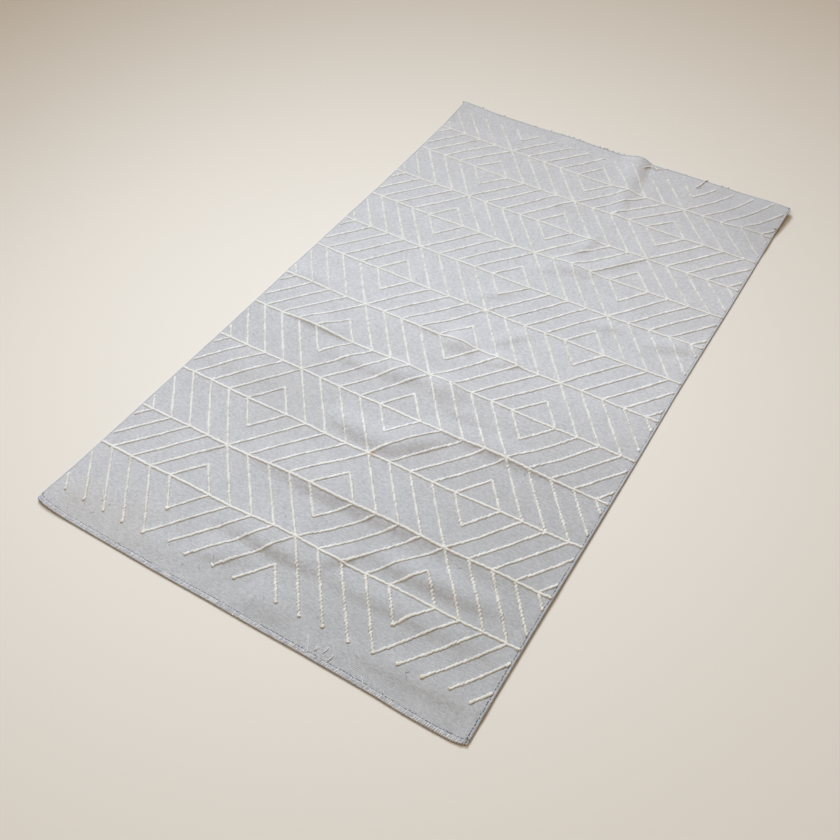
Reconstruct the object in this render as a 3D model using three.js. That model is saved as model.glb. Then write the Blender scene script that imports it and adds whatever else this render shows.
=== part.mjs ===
// Flat-woven kilim rug, lying on a floor with soft waves and one fold at its far end.
// Millimetres. X runs along the width, Y along the length from the near end to the
// far end, Z up. The origin is on the floor, below the middle of the rug.
import * as THREE from 'three';

// Driving sizes of the rug
const RUG_WIDTH = 800;
const RUG_LENGTH = 1400;
const CLOTH_THICKNESS = 3;
const END_BINDING_WIDTH = 11;
const SELVEDGE_WIDTH = 6;
const BINDING_HEIGHT = 4.8;
const SEAM_GAP = 0.3;

// The long left side is drawn in by this much at its middle
const LEFT_DRAW_IN = 8;

// Raised pattern yarn: lines laid across the rug, and slanting cords between them
const LINE_YARN = { halfWidth: 2.8, height: 2.0 };
const CORD_YARN = { halfWidth: 2.1, height: 1.6 };

// The pattern is counted in units across (u) and in lines along the length (v).
// Lines 1 to 12 are laid yarn. The slanting cords start at line 0, and end a little
// before line 13.
const HALF_UNITS = 9.5;
const FIRST_LINE = 0;
const LAST_LINE = 13;
const CORD_END = 12.83;
const BLOCK_UNITS = 5;
const BLOCK_STARTS = [-10, -5, 0, 5];
const CORDS_IN_BLOCK = [-1, 0, 1, 2, 3, 4];
const UNITS_PER_BAND = 2;

// The yarn wanders by this much as it was laid by hand
const WOBBLE = { size: 1, acrossTurn: 1.3, alongTurn: 2.1 };

// Each pattern line: its place in the middle of the rug, how much further from the near
// end its right end lies than its left end, and both ends lie than its middle, how far
// the middle is moved to the right, and how far the stars beside it are moved outwards
const LINES = [
  { line: -1, fromNear: END_BINDING_WIDTH + SEAM_GAP, rise: 0, bend: 0, shift: 0, spread: 0 },
  { line: 0, fromNear: 42, rise: 20, bend: 2, shift: 3, spread: 6 },
  { line: 1, fromNear: 155, rise: 19, bend: 1, shift: 3, spread: 5 },
  { line: 2, fromNear: 256, rise: 19, bend: 2, shift: 2, spread: 4 },
  { line: 3, fromNear: 363, rise: 20, bend: 4, shift: 2, spread: 2 },
  { line: 4, fromNear: 468, rise: 13, bend: 2, shift: 1, spread: 2 },
  { line: 5, fromNear: 575, rise: 13, bend: 2, shift: -1, spread: 1 },
  { line: 6, fromNear: 677, rise: 17, bend: 3, shift: 0, spread: 0 },
  { line: 7, fromNear: 781, rise: 19, bend: 5, shift: 1, spread: -1 },
  { line: 8, fromNear: 884, rise: 20, bend: 7, shift: 0, spread: -1 },
  { line: 9, fromNear: 986, rise: 21, bend: 6, shift: -1, spread: -1 },
  { line: 10, fromNear: 1084, rise: 13, bend: 4, shift: -2, spread: -1 },
  { line: 11, fromNear: 1185, rise: 9, bend: 6, shift: -4, spread: -1 },
  { line: 12, fromNear: 1280, rise: 2, bend: 6, shift: -2, spread: 0 },
  { line: 13, fromNear: 1382, rise: 14, bend: 2, shift: -3, spread: 0 },
  { line: 14, fromNear: RUG_LENGTH - END_BINDING_WIDTH - SEAM_GAP, rise: 0, bend: 0, shift: 0, spread: 0 },
];

// Soft swells in the cloth: the middle of each, the turn of its long way from +X in
// degrees, its half length and half width, and its height over the floor
const SWELLS = [
  { place: 'far fold', x: 64, y: 700, turn: 101, halfLength: 150, halfWidth: 30, height: 8 },
  { place: 'below the far fold', x: 88, y: 520, turn: 105, halfLength: 90, halfWidth: 28, height: 2.5 },
  { place: 'far right corner', x: 400, y: 700, turn: 50, halfLength: 150, halfWidth: 120, height: 9 },
  { place: 'near left corner', x: -400, y: -700, turn: 50, halfLength: 130, halfWidth: 110, height: 5 },
  { place: 'far slant', x: 165, y: 330, turn: 51, halfLength: 70, halfWidth: 24, height: 3 },
  { place: 'far middle', x: 60, y: 232, turn: 160, halfLength: 70, halfWidth: 30, height: 2.5 },
  { place: 'right side', x: 345, y: 160, turn: 20, halfLength: 70, halfWidth: 34, height: 2 },
  { place: 'middle', x: 85, y: 36, turn: 10, halfLength: 70, halfWidth: 28, height: 2.5 },
  { place: 'line six, middle', x: -45, y: -16, turn: 2, halfLength: 100, halfWidth: 30, height: 3.5 },
  { place: 'line six, left', x: -345, y: -18, turn: 2, halfLength: 80, halfWidth: 26, height: 2.5 },
  { place: 'line five, left', x: -270, y: -118, turn: 2, halfLength: 120, halfWidth: 28, height: 3 },
  { place: 'line four', x: 40, y: -224, turn: 1, halfLength: 390, halfWidth: 34, height: 4 },
  { place: 'notch below line four', x: 40, y: -290, turn: 40, halfLength: 80, halfWidth: 26, height: 3 },
  { place: 'line two', x: 110, y: -434, turn: 1, halfLength: 320, halfWidth: 40, height: 5.5 },
  { place: 'near middle', x: -20, y: -556, turn: 4, halfLength: 130, halfWidth: 32, height: 4 },
  { place: 'near right, upper', x: 240, y: -486, turn: 1, halfLength: 120, halfWidth: 26, height: 2.5 },
  { place: 'near right, lower', x: 262, y: -560, turn: 6, halfLength: 110, halfWidth: 26, height: 3 },
];

// Sizes worked out from the ones above
const HALF_WIDTH = RUG_WIDTH / 2;
const HALF_LENGTH = RUG_LENGTH / 2;
const UNIT = (HALF_WIDTH - SELVEDGE_WIDTH - SEAM_GAP) / HALF_UNITS;
const FIRST_LAID = LINES.find((row) => row.line === FIRST_LINE + 1);
const LAST_LAID = LINES.find((row) => row.line === LAST_LINE - 1);
const MEAN_BAND = (LAST_LAID.fromNear - FIRST_LAID.fromNear) / (LAST_LAID.line - FIRST_LAID.line);
const CORD_SLANT = Math.hypot(UNITS_PER_BAND * UNIT, MEAN_BAND) / MEAN_BAND;
const CORD_FOOT = (CORD_YARN.halfWidth * CORD_SLANT) / UNIT;
const LINE_FOOT = LINE_YARN.halfWidth / MEAN_BAND;
const APEX_FOOT = CORD_FOOT / UNITS_PER_BAND;

// Rows of points inside each band of the sheet, and past the free ends of the cords.
// The tips of the small diamonds are half way up a band.
const ROW_STEP = 0.25;
const TIP_ROW = 0.5;
const INNER_ROWS = [ROW_STEP, TIP_ROW, TIP_ROW + ROW_STEP];
const END_TAPER = 0.04;

// Extra columns beside the far fold, as parts of one unit
const FOLD_BAND = 12;
const FOLD_BLOCK = 0;
const FOLD_GAPS = [0, 1, 2];
const FOLD_COLUMNS = [0.25, 0.5, 0.75];

// Step along the bindings, and the outline of their section: how far in from the outer
// edge as a share of the width, and how high as a share of the height
const SIDE_STEPS = 48;
const END_STEPS = 56;
const BINDING_SECTION = [
  { inward: 0.06, up: 0 },
  { inward: 1, up: 0 },
  { inward: 1, up: 0.66 },
  { inward: 0.78, up: 0.94 },
  { inward: 0.42, up: 1 },
  { inward: 0.1, up: 0.76 },
  { inward: 0, up: 0.34 },
];

const COLOURS = {
  ground: '#c2c6cb',
  binding: '#bcc0c9',
  selvedge: '#bfc3ca',
};

function clamp(value, low, high) {
  return Math.min(Math.max(value, low), high);
}

// Height of the underside over the floor: nothing between the swells, where the rug
// lies flat on the floor
function floorLift(x, y) {
  let lift = 0;
  for (const swell of SWELLS) {
    const turn = THREE.MathUtils.degToRad(swell.turn);
    const along = (x - swell.x) * Math.cos(turn) + (y - swell.y) * Math.sin(turn);
    const across = (y - swell.y) * Math.cos(turn) - (x - swell.x) * Math.sin(turn);
    const reach = (along / swell.halfLength) ** 2 + (across / swell.halfWidth) ** 2;
    if (reach < 1) {
      lift += swell.height * (1 - reach) ** 2;
    }
  }
  return lift;
}

// How far the left side is drawn in at a place along the length
function drawIn(y) {
  return LEFT_DRAW_IN * (1 - (y / HALF_LENGTH) ** 2);
}

// Place on the floor of a point counted in units and lines
function patternPlace(u, v) {
  const index = clamp(Math.floor(v) + 1, 0, LINES.length - 2);
  const before = LINES[index];
  const after = LINES[index + 1];
  const value = (column) =>
    THREE.MathUtils.lerp(before[column], after[column], (v - before.line) / (after.line - before.line));
  const side = u / HALF_UNITS;
  const inner = 1 - side ** 4;
  const spread = (u * (1 - side ** 2)) / (BLOCK_UNITS * (1 - (BLOCK_UNITS / HALF_UNITS) ** 2));
  const laid = WOBBLE.size * inner * clamp(v + 1, 0, 1) * clamp(LAST_LINE + 1 - v, 0, 1);
  const turn = WOBBLE.acrossTurn * u + WOBBLE.alongTurn * v;
  const level = value('fromNear') - HALF_LENGTH + (value('rise') * side) / 2 + value('bend') * side ** 2;
  const pulled = u < 0 ? drawIn(level) * (1 - inner) : 0;
  const moved = value('shift') * inner + value('spread') * spread + laid * Math.cos(turn);
  return { x: u * UNIT + pulled + moved, y: level + laid * Math.sin(turn) };
}

// True where the cords of a block lean to the right as they run to the far end
function leansRight(band, start) {
  return Math.abs(start / BLOCK_UNITS + band) % 2 === 1;
}

// Height of the pattern yarn over the cloth at a point counted in units and lines
function yarnHeight(u, v) {
  if (v < FIRST_LINE || v > CORD_END) {
    return 0;
  }
  const line = Math.round(v);
  const fromLine = Math.abs(v - line) * MEAN_BAND;
  const laid = line > FIRST_LINE && line < LAST_LINE;
  const lineHeight = laid ? LINE_YARN.height * Math.max(0, 1 - fromLine / LINE_YARN.halfWidth) : 0;

  const band = clamp(Math.floor(v), FIRST_LINE, LAST_LINE - 1);
  const start = Math.floor(u / BLOCK_UNITS) * BLOCK_UNITS;
  const inBlock = leansRight(band, start) ? u - start : start + BLOCK_UNITS - u;
  const step = inBlock - UNITS_PER_BAND * (v - band);
  const cord = Math.round(step);
  const fromCord = (Math.abs(step - cord) * UNIT) / CORD_SLANT;
  const drawn = CORDS_IN_BLOCK.includes(cord);
  const cordHeight = drawn ? CORD_YARN.height * Math.max(0, 1 - fromCord / CORD_YARN.halfWidth) : 0;
  return Math.max(lineHeight, cordHeight);
}

// A closed skin of triangles, built point by point
class Skin {
  constructor() {
    this.points = [];
    this.faces = [];
    this.named = new Map();
    this.splits = new Map();
  }

  addPoint(x, y, z) {
    this.points.push(x, y, z);
    return this.points.length / 3 - 1;
  }

  // The point of one name, made on first use
  namedPoint(name, place) {
    if (!this.named.has(name)) {
      const { x, y, z } = place();
      this.named.set(name, this.addPoint(x, y, z));
    }
    return this.named.get(name);
  }

  edgeName(a, b) {
    return `${Math.min(a, b)} ${Math.max(a, b)}`;
  }

  // The edge between two points gets a third point on it
  splitEdge(a, b, middle) {
    this.splits.set(this.edgeName(a, b), middle);
  }

  addFace(a, b, c) {
    if (a === b || b === c || c === a) {
      return;
    }
    for (const [from, to, other] of [[a, b, c], [b, c, a], [c, a, b]]) {
      const middle = this.splits.get(this.edgeName(from, to));
      if (middle !== undefined) {
        this.faces.push(from, middle, other, middle, to, other);
        return;
      }
    }
    this.faces.push(a, b, c);
  }

  // Faces between two rows that have the same number of points
  addStrip(near, far, faceUp) {
    for (let i = 0; i + 1 < near.length; i += 1) {
      this.addTurned(near[i], near[i + 1], far[i + 1], faceUp);
      this.addTurned(near[i], far[i + 1], far[i], faceUp);
    }
  }

  addTurned(a, b, c, faceUp) {
    if (faceUp) {
      this.addFace(a, b, c);
    } else {
      this.addFace(a, c, b);
    }
  }

  // Faces between two rows with points at different places along them
  addWall(low, high, outward) {
    let i = 0;
    let j = 0;
    while (i + 1 < low.length || j + 1 < high.length) {
      const lowNext = i + 1 < low.length ? low[i + 1].at : Infinity;
      const highNext = j + 1 < high.length ? high[j + 1].at : Infinity;
      if (lowNext <= highNext) {
        this.addTurned(low[i].point, low[i + 1].point, high[j].point, outward);
        i += 1;
      } else {
        this.addTurned(low[i].point, high[j + 1].point, high[j].point, outward);
        j += 1;
      }
    }
  }

  geometry() {
    const skin = new THREE.BufferGeometry();
    skin.setAttribute('position', new THREE.Float32BufferAttribute(this.points, 3));
    skin.setIndex(this.faces);
    skin.computeVertexNormals();
    return skin;
  }
}

// Rows of one band of the top face. On a joined row the crest and the two feet of each
// cord meet in one point. A shared row also belongs to the band before or after.
function bandRows(band) {
  const inner = INNER_ROWS.map((share) => ({ v: band + share, share, joined: false, shared: false }));
  const lineBefore = [
    { v: band, share: 0, joined: true, shared: true },
    { v: band + LINE_FOOT, share: LINE_FOOT, joined: false, shared: false },
  ];
  const lineAfter = [
    { v: band + 1 - LINE_FOOT, share: 1 - LINE_FOOT, joined: false, shared: false },
    { v: band + 1, share: 1, joined: true, shared: true },
  ];
  const nearEnd = [
    { v: FIRST_LINE - 1, share: 0, joined: true, shared: false },
    { v: FIRST_LINE - END_TAPER, share: 0, joined: true, shared: false },
    { v: FIRST_LINE, share: 0, joined: false, shared: false },
  ];
  const endShare = CORD_END - LAST_LINE + 1;
  const farEnd = [
    { v: CORD_END, share: endShare, joined: false, shared: false },
    { v: CORD_END + END_TAPER, share: endShare, joined: true, shared: false },
    { v: LAST_LINE + 1, share: endShare, joined: true, shared: false },
  ];
  return [
    ...(band === FIRST_LINE ? nearEnd : lineBefore),
    ...inner,
    ...(band === LAST_LINE - 1 ? farEnd : lineAfter),
  ];
}

// Places across the rug of one row's points: for each cord its near foot, crest and far
// foot, pressed against the side of the block where the cord is not inside it
function topColumns(band, row) {
  const columns = [];
  for (const start of BLOCK_STARTS) {
    const block = [0];
    for (const cord of CORDS_IN_BLOCK) {
      const crest = cord + UNITS_PER_BAND * row.share;
      const foot = row.joined ? 0 : CORD_FOOT;
      block.push(crest - foot, crest, crest + foot);
      if (band === FOLD_BAND && start === FOLD_BLOCK && FOLD_GAPS.includes(cord)) {
        block.push(...FOLD_COLUMNS.map((part) => crest + (row.shared ? 0 : part)));
      }
    }
    block.push(BLOCK_UNITS);
    const inBlock = block.map((u) => clamp(u, 0, BLOCK_UNITS));
    const placed = leansRight(band, start)
      ? inBlock.map((u) => start + u)
      : inBlock.reverse().map((u) => start + BLOCK_UNITS - u);
    columns.push(...placed.map((u) => clamp(u, -HALF_UNITS, HALF_UNITS)));
  }
  return columns;
}

// Places across the rug of one row of the underside
function undersideColumns(inFold, shared) {
  const columns = [-HALF_UNITS];
  for (let u = Math.ceil(-HALF_UNITS); u <= HALF_UNITS; u += 1) {
    columns.push(u);
    if (inFold && FOLD_GAPS.includes(u - FOLD_BLOCK)) {
      columns.push(...FOLD_COLUMNS.map((part) => u + (shared ? 0 : part)));
    }
  }
  columns.push(HALF_UNITS);
  return columns;
}

// Rows of the underside, which has no yarn to follow
function undersideRows() {
  const rows = [FIRST_LINE - 1];
  for (let band = FIRST_LINE; band < LAST_LINE; band += 1) {
    rows.push(band, ...INNER_ROWS.map((share) => band + share));
  }
  rows.push(CORD_END, LAST_LINE + 1);
  return rows;
}

// The woven cloth: one sheet of even thickness with the pattern yarn raised on top
function wovenGround() {
  const skin = new Skin();

  const pointAt = (face, u, v) =>
    skin.namedPoint(`${face} ${u.toFixed(4)} ${v.toFixed(4)}`, () => {
      const { x, y } = patternPlace(u, v);
      const over = face === 'top' ? CLOTH_THICKNESS + yarnHeight(u, v) : 0;
      return { x, y, z: floorLift(x, y) + over };
    });
  const rowOf = (face, columns, v) => columns.map((u) => pointAt(face, u, v));

  // The tips of the small diamonds slope to the cloth within the width of the yarn
  for (let band = FIRST_LINE; band < LAST_LINE; band += 1) {
    for (const side of BLOCK_STARTS.filter((start) => Math.abs(start) < HALF_UNITS)) {
      const away = leansRight(band, side) ? -1 : 1;
      const tip = band + TIP_ROW;
      const foot = pointAt('top', side, tip + away * APEX_FOOT);
      skin.splitEdge(pointAt('top', side, tip), pointAt('top', side, tip + away * ROW_STEP), foot);
    }
  }

  const topRows = [];
  for (let band = FIRST_LINE; band < LAST_LINE; band += 1) {
    const rows = bandRows(band);
    const points = rows.map((row) => rowOf('top', topColumns(band, row), row.v));
    for (let i = 0; i + 1 < rows.length; i += 1) {
      skin.addStrip(points[i], points[i + 1], true);
    }
    topRows.push(...rows.map((row) => ({ band, row })));
  }

  const lowRows = undersideRows();
  for (let i = 0; i + 1 < lowRows.length; i += 1) {
    const inFold = lowRows[i] >= FOLD_BAND;
    const [near, far] = [lowRows[i], lowRows[i + 1]].map((v) =>
      rowOf('underside', undersideColumns(inFold, v === FOLD_BAND), v),
    );
    skin.addStrip(near, far, false);
  }

  const sorted = (values) => [...new Set(values)].sort((a, b) => a - b);
  for (const side of [-HALF_UNITS, HALF_UNITS]) {
    const low = lowRows.map((v) => ({ point: pointAt('underside', side, v), at: v }));
    const heights = sorted(topRows.map(({ row }) => row.v));
    const high = heights.map((v) => ({ point: pointAt('top', side, v), at: v }));
    skin.addWall(low, high, side > 0);
  }
  for (const end of [topRows[0], topRows[topRows.length - 1]]) {
    const { v } = end.row;
    const lowColumns = undersideColumns(v > LAST_LINE, false);
    const highColumns = sorted(topColumns(end.band, end.row).map((u) => Number(u.toFixed(4))));
    const low = lowColumns.map((u) => ({ point: pointAt('underside', u, v), at: u }));
    const high = highColumns.map((u) => ({ point: pointAt('top', u, v), at: u }));
    skin.addWall(low, high, v < FIRST_LINE);
  }
  return skin.geometry();
}

// A binding with the same section all along one edge. outerEdge gives the place of the
// outer edge at a share of the length, and inward is the way to the middle of the rug.
function bindingStrip(outerEdge, inward, width, steps) {
  const skin = new Skin();
  const sections = [];
  for (let i = 0; i <= steps; i += 1) {
    const edge = outerEdge(i / steps);
    const section = BINDING_SECTION.map((corner) => {
      const x = edge.x + inward.x * corner.inward * width;
      const y = edge.y + inward.y * corner.inward * width;
      return skin.addPoint(x, y, floorLift(x, y) + corner.up * BINDING_HEIGHT);
    });
    sections.push(section);
  }
  const corners = BINDING_SECTION.length;
  for (let i = 0; i < steps; i += 1) {
    for (let j = 0; j < corners; j += 1) {
      const next = (j + 1) % corners;
      skin.addFace(sections[i][j], sections[i][next], sections[i + 1][next]);
      skin.addFace(sections[i][j], sections[i + 1][next], sections[i + 1][j]);
    }
  }
  for (let j = 1; j + 1 < corners; j += 1) {
    skin.addFace(sections[0][0], sections[0][j + 1], sections[0][j]);
    skin.addFace(sections[steps][0], sections[steps][j], sections[steps][j + 1]);
  }
  return skin.geometry();
}

// Overcast binding along one short end, as long as the rug is wide
function endBinding(side) {
  const along = (share) => ({
    x: side * HALF_WIDTH * (1 - 2 * share),
    y: side * HALF_LENGTH,
  });
  return bindingStrip(along, { x: 0, y: -side }, END_BINDING_WIDTH, END_STEPS);
}

// Selvedge along one long side, between the two end bindings
function selvedge(side) {
  const reach = HALF_LENGTH - END_BINDING_WIDTH - SEAM_GAP;
  const along = (share) => {
    const y = -side * reach * (1 - 2 * share);
    return { x: side * HALF_WIDTH + (side < 0 ? drawIn(y) : 0), y };
  };
  return bindingStrip(along, { x: -side, y: 0 }, SELVEDGE_WIDTH, SIDE_STEPS);
}

function namedMesh(name, geometry, colour) {
  const material = new THREE.MeshStandardMaterial({ color: colour, roughness: 0.95, metalness: 0 });
  const mesh = new THREE.Mesh(geometry, material);
  mesh.name = name;
  return mesh;
}

const rug = new THREE.Group();
rug.name = 'kilim_rug';
rug.add(namedMesh('woven_ground', wovenGround(), COLOURS.ground));
rug.add(namedMesh('binding_near', endBinding(-1), COLOURS.binding));
rug.add(namedMesh('binding_far', endBinding(1), COLOURS.binding));
rug.add(namedMesh('selvedge_left', selvedge(-1), COLOURS.selvedge));
rug.add(namedMesh('selvedge_right', selvedge(1), COLOURS.selvedge));

export default rug;
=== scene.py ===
"""A flat-woven kilim rug that lies on a pale floor.

The rug is one thin sheet of weft-faced cloth. Thick ivory yarn is laid across it in
twelve lines, and wrapped stitches run between the lines as slanting cords, which
make nested diamonds and chevrons. Overcast yarn wraps all four edges. Sizes are in
millimetres where they are named, and every mesh is made in metres.
"""

import logging
import math
from collections.abc import Callable, Iterator, Sequence
from contextlib import contextmanager
from dataclasses import dataclass, field
from enum import Enum
from typing import Any, NamedTuple

import bmesh
import bpy
import numpy as np
from bpy.types import Material, Mesh, Node, NodeSocket, Object
from mathutils import Matrix, Vector


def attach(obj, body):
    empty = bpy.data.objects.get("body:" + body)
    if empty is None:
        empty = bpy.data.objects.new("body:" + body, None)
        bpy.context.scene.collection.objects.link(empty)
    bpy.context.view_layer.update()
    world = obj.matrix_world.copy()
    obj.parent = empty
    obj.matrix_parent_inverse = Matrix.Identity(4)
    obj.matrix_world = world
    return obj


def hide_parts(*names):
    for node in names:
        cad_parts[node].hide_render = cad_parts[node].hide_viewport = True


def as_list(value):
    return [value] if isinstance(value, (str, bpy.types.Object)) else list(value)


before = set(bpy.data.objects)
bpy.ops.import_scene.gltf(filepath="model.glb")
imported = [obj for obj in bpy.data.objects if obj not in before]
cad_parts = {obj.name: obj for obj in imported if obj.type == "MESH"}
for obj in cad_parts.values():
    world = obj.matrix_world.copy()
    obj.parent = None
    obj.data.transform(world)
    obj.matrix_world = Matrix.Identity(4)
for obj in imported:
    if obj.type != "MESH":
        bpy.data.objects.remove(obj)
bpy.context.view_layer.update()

LOG = logging.getLogger("kilim_rug")

MM = 0.001
HALF_WIDTH = 400.0
HALF_LENGTH = 700.0
HALF_UNITS = 9.5
BLOCK_UNITS = 5
LAST_LINE = 13
SEED = 20
UP = (0.0, 0.0, 1.0)


# Sizes that the pieces share


class PatternLine(NamedTuple):
    """One line of the pattern, which rises to the right and bends at its ends.

    Its places shift to the right, and spread outward from the middle.
    """

    line: int
    from_near: float
    rise: float
    bend: float
    shift: float
    spread: float


PATTERN_LINES = tuple(
    PatternLine(*row)
    for row in (
        (-1, 11.3, 0, 0, 0, 0),
        (0, 42, 20, 6, 3, 6),
        (1, 155, 19, 1, 3, 5),
        (2, 256, 19, 2, 2, 4),
        (3, 363, 20, 4, 2, 2),
        (4, 468, 13, 2, 1, 2),
        (5, 575, 13, 2, -1, 1),
        (6, 677, 17, 3, 0, 0),
        (7, 781, 19, 5, 1, -1),
        (8, 884, 20, 7, 0, -1),
        (9, 986, 21, 6, -1, -1),
        (10, 1084, 13, 4, -2, -1),
        (11, 1185, 9, 6, -4, -1),
        (12, 1280, 2, 6, -2, 0),
        (13, 1382, 14, 2, -3, 0),
        (14, 1388.7, 0, 0, 0, 0),
    )
)


class Swell(NamedTuple):
    """An oval place where the cloth lifts off the floor, turned in degrees.

    The steep share narrows the flank on the right of the swell's own run.
    """

    x: float
    y: float
    turn: float
    half_length: float
    half_width: float
    height: float
    steep: float = 1.0


SWELLS = tuple(
    Swell(*row)
    for row in (
        (58, 700, 101, 215, 48, 10.5, 0.62),
        (88, 520, 105, 90, 30, 2.5, 0.6),
        (400, 700, 50, 150, 120, 9),
        (-400, 700, -50, 110, 90, 5),
        (-400, -700, 50, 100, 80, 2.6),
        (400, -440, 90, 420, 28, 1.8),
        (160, 344, 54, 95, 30, 2.8, 0.65),
        (84, 365, 80, 64, 30, 4.2, 0.5),
        (-20, 462, 5, 70, 36, 2.6, 0.6),
        (350, 575, -30, 90, 50, 4, 0.6),
        (86, 280, 0, 66, 46, 6.5, 0.55),
        (40, 248, 20, 40, 26, 3, 0.6),
        (345, 174, 20, 70, 34, 4, 0.6),
        (215, 160, 10, 40, 28, 3, 0.6),
        (-5, 130, 40, 50, 28, 3, 0.6),
        (76, 34, 50, 58, 32, 3.2, 0.6),
        (0, -28, 0, 46, 50, 8, 0.55),
        (-60, -16, 4, 80, 34, 3, 0.6),
        (100, -26, 22, 60, 34, 3.6, 0.55),
        (-345, -16, 2, 80, 30, 2.6, 0.7),
        (-248, -123, 0, 96, 40, 6, 0.42),
        (-150, -168, -2, 90, 32, 4, 0.6),
        (-50, -150, 12, 66, 50, 7.5, 0.6),
        (34, -146, -18, 60, 50, 8.5, 0.6),
        (90, -178, -4, 60, 30, 3, 0.6),
        (200, -221, 2, 180, 44, 6.5, 0.55),
        (54, -282, 42, 92, 62, 8, 0.46),
        (-40, -306, -6, 95, 46, 7.5, 0.52),
        (-300, -284, 0, 110, 60, 3, 0.7),
        (10, -440, 1, 260, 88, 8, 0.32),
        (250, -434, 2, 200, 52, 3.6, 0.5),
        (235, -502, 3, 160, 38, 7, 0.66),
        (84, -540, 46, 62, 36, 4.2, 0.5),
        (-20, -576, 1, 130, 92, 8, 0.26),
        (215, -572, 2, 190, 40, 4.6, 0.55),
        (-80, -630, 20, 70, 40, 4.2, 0.6),
        (35, -666, 0, 60, 46, 4.6, 0.7),
        (290, -656, 4, 150, 50, 4.2, 0.5),
        (-170, -668, 0, 90, 40, 3, 0.7),
    )
)


class Edge(Enum):
    """The four edges of the rug, as seen from the near end."""

    NEAR = "near"
    FAR = "far"
    LEFT = "left"
    RIGHT = "right"


class Lean(Enum):
    """Which way a slanting cord runs as it goes to the far end."""

    RIGHT = "right"
    LEFT = "left"


class TonePatch(NamedTuple):
    """A round patch of tone, one of the real stains or a patch of painted shade: its place and radius,
    its colour, and how strong it is.
    """

    x: float
    y: float
    radius: float
    colour: str
    strength: float = 0.8


# Real stains on the cloth, and two broad grey patches of painted shade.
STAINS_AND_SHADE = tuple(
    TonePatch(*row)
    for row in (
        (-338, -668, 60, "#c9beab", 0.17),
        (-250, -664, 64, "#c7bdac", 0.17),
        # Painted shade: a broad grey patch that darkens the lifted far right corner.
        (384, 660, 210, "#b6b7ba", 0.34),
        # Painted shade: a grey patch for the shaded flank of a low wave in the cloth.
        (-190, -300, 130, "#b8b6b2", 0.16),
        (11, -334, 5.5, "#c0874a", 0.7),
        (221, -435, 4.5, "#bd9364", 0.7),
        (396, 618, 5, "#7b4a48"),
    )
)

# How far each edge lies outside the even outline, at places along it.
OUTWARD = {
    Edge.NEAR: (
        (-400, 0.9), (-390, 4.4), (-374, 6.7), (-340, 8.3), (-150, 8.7), (-50, 7.5), (50, 7.3),
        (130, 6.3), (250, 6.7), (300, 8.3), (350, 8.1), (378, 7.3), (392, 4.8), (400, 1.2),
    ),
    Edge.FAR: (
        (-400, 0), (-344, 1), (-216, 1.8), (-176, 2.6), (-144, 5), (-112, 6.4), (-60, 4.6),
        (16, 4.8), (48, 3.4), (80, 5.4), (112, 5), (144, 8), (176, 8), (216, 10), (280, 9.6),
        (312, 7.4), (344, 4.4), (376, 1.8), (400, 0),
    ),
    Edge.LEFT: ((-700, 2.6), (-400, 3.2), (0, 3.2), (200, 1), (300, -1), (500, -2), (700, -2.8)),
    Edge.RIGHT: (
        (-700, 3), (-620, 1.4), (-500, 0.5), (-100, 0), (60, -1.8), (200, -1.2), (340, 0),
        (600, -0.2), (700, 3),
    ),
}

# How late in its band a near cord starts, by its units across.
LATE_STARTS = {-4: 0.06, -2: 0.07, -1: 0.05, 3: 0.03, 8: 0.04}


class StitchRun(NamedTuple):
    """Where the copies of one stitch go: places, the way each faces, and its size."""

    places: np.ndarray
    along: np.ndarray
    upward: np.ndarray | tuple[float, float, float]
    sizes: np.ndarray


class Tube(NamedTuple):
    """A yarn's middle line, the way its top faces, and half its width and height."""

    path: np.ndarray
    facing: np.ndarray
    width: np.ndarray
    height: np.ndarray


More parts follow.
